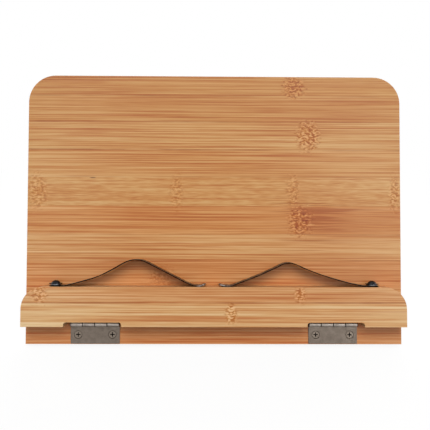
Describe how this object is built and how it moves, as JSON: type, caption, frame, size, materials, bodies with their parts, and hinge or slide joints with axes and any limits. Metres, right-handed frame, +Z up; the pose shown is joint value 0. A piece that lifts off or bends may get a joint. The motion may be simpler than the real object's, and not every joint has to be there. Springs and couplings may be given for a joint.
{
  "type": "photo album stand",
  "caption": "Laminated bamboo album stand: reclined back board on a folding leg with a wire bail, and a hinged ledge with sprung page clips, folded up.",
  "frame": {"origin": "middle of the flat on the back board's bottom back edge, where the board stands on the table", "axes": "+X to the right along the board's width, +Y from the front to the back, +Z up"},
  "size_m": [0.2784, 0.1616, 0.1858],
  "materials": {
    "bamboo_board": "satin clear-coated laminated bamboo",
    "bamboo_cleat": "satin clear-coated bamboo",
    "bamboo_ledge": "satin clear-coated laminated bamboo",
    "bamboo_leg": "satin clear-coated bamboo",
    "hinge_metal": "antique nickel plate, satin",
    "screw_metal": "antique nickel plate, satin",
    "spring_steel": "dark blued spring steel",
    "wire_steel": "bright drawn steel wire"
  },
  "bodies": {
    "board": {"back_board": "bamboo_board", "leg_cleat": "bamboo_cleat", "angle_rack": "bamboo_cleat", "cleat_rack_screws": "screw_metal", "front_hinge_left_board_leaf": "hinge_metal", "front_hinge_right_board_leaf": "hinge_metal", "front_hinge_left_pin": "hinge_metal", "front_hinge_right_pin": "hinge_metal", "front_hinge_board_screws": "screw_metal", "rear_hinge_left_cleat_leaf": "hinge_metal", "rear_hinge_right_cleat_leaf": "hinge_metal", "rear_hinge_left_pin": "hinge_metal", "rear_hinge_right_pin": "hinge_metal", "rear_hinge_cleat_screws": "screw_metal"},
    "ledge": {"ledge": "bamboo_ledge", "front_hinge_left_ledge_leaf": "hinge_metal", "front_hinge_right_ledge_leaf": "hinge_metal", "front_hinge_ledge_screws": "screw_metal", "clip_left_screw": "screw_metal", "clip_right_screw": "screw_metal", "clip_left_washer": "screw_metal", "clip_right_washer": "screw_metal"},
    "clip_left": {"clip_left": "spring_steel"},
    "clip_right": {"clip_right": "spring_steel"},
    "leg": {"leg_left_rail": "bamboo_leg", "leg_right_rail": "bamboo_leg", "leg_top_rail": "bamboo_leg", "leg_bottom_rail": "bamboo_leg", "rear_hinge_left_leg_leaf": "hinge_metal", "rear_hinge_right_leg_leaf": "hinge_metal", "rear_hinge_leg_screws": "screw_metal"},
    "bail": {"prop_bail": "wire_steel"}
  },
  "joints": [
    {"name": "ledge_fold", "type": "hinge", "parent": "board", "child": "ledge", "pos_m": [0, -0.00593, 0.01901], "axis": [1, 0, 0], "range_deg": [0, 98]},
    {"name": "clip_left_swivel", "type": "hinge", "parent": "ledge", "child": "clip_left", "pos_m": [-0.1157, 0.00213, 0.04648], "axis": [0, 0.4226, 0.9063], "range_deg": [-270, 0]},
    {"name": "clip_right_swivel", "type": "hinge", "parent": "ledge", "child": "clip_right", "pos_m": [0.1155, 0.00213, 0.04648], "axis": [0, 0.4226, 0.9063], "range_deg": [0, 270]},
    {"name": "leg_fold", "type": "hinge", "parent": "board", "child": "leg", "pos_m": [0, 0.0813, 0.14384], "axis": [1, 0, 0], "range_deg": [-50, 0]},
    {"name": "bail_swing", "type": "hinge", "parent": "leg", "child": "bail", "pos_m": [0, 0.10116, 0.08469], "axis": [1, 0, 0], "range_deg": [0, 100]}
  ],
  "couplings": [
    {"joint": "clip_left_swivel", "follows": "ledge_fold", "ratio": -2.75},
    {"joint": "clip_right_swivel", "follows": "ledge_fold", "ratio": 2.75},
    {"joint": "bail_swing", "follows": "leg_fold", "ratio": -2}
  ]
}
